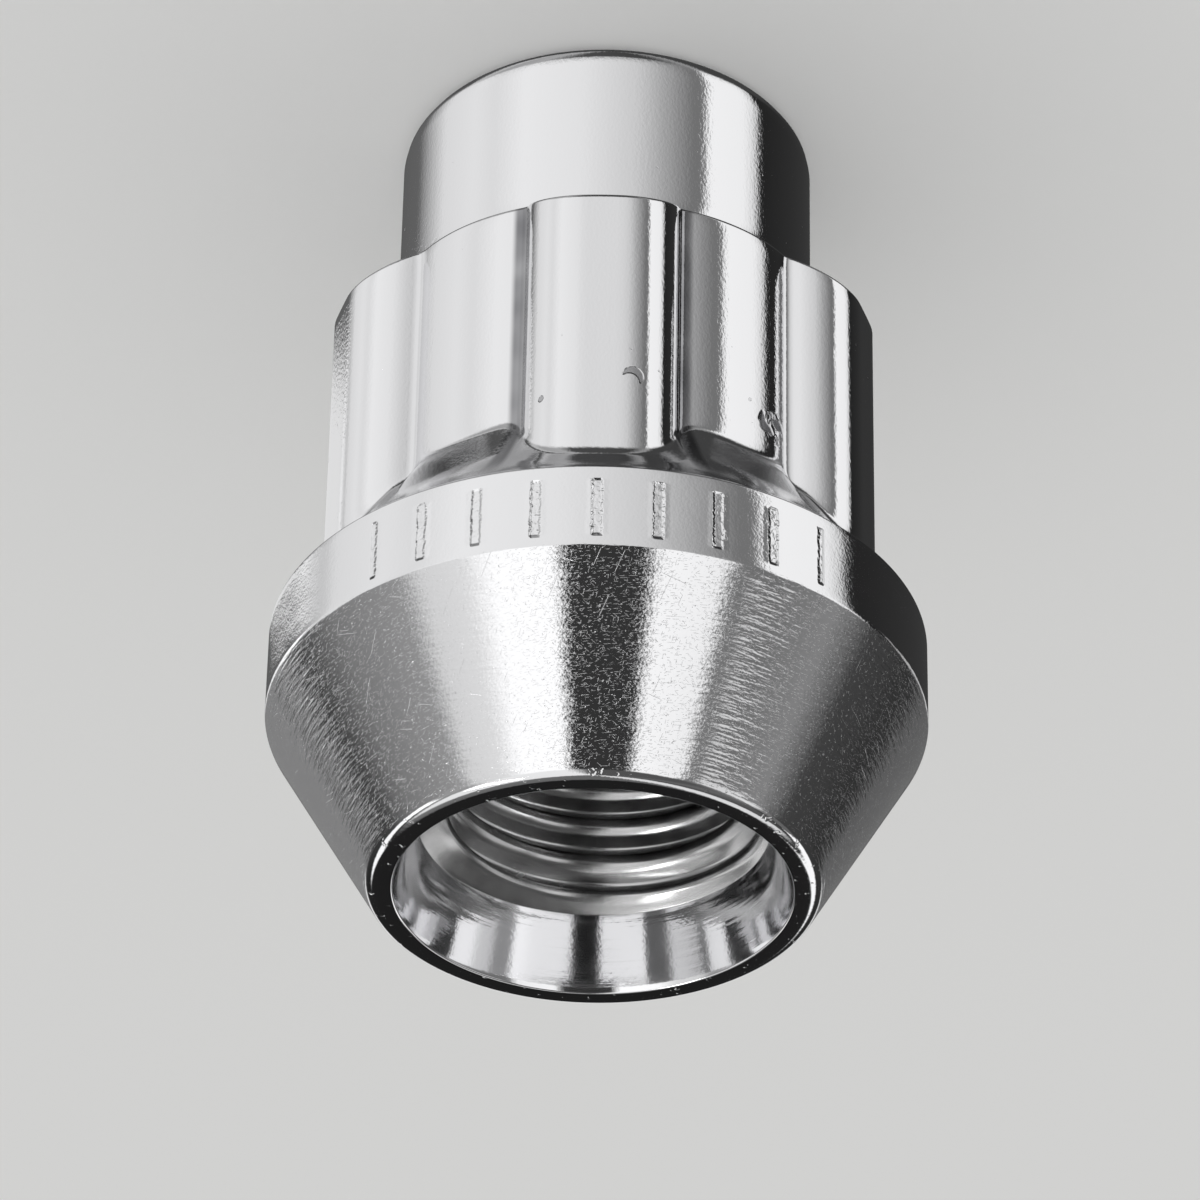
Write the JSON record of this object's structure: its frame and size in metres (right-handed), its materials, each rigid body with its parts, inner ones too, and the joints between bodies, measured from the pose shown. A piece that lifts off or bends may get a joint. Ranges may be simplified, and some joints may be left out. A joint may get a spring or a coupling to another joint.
{
  "type": "lug nut",
  "caption": "Chrome-plated closed-end wheel lug nut with a ribbed drive, a flange band, a cone seat and a blind threaded bore.",
  "frame": {"origin": "centre of the flat closed end, which the nut stands on", "axes": "+Z runs along the axis from the closed end to the threaded mouth, and one drive rib faces -Y"},
  "size_m": [0.0234, 0.0234, 0.0316],
  "materials": {
    "chrome_plate": "bright chrome plate on forged steel, scratched on the cone seat and duller in the thread"
  },
  "bodies": {
    "root": {"nut_body": "chrome_plate"}
  },
  "joints": []
}
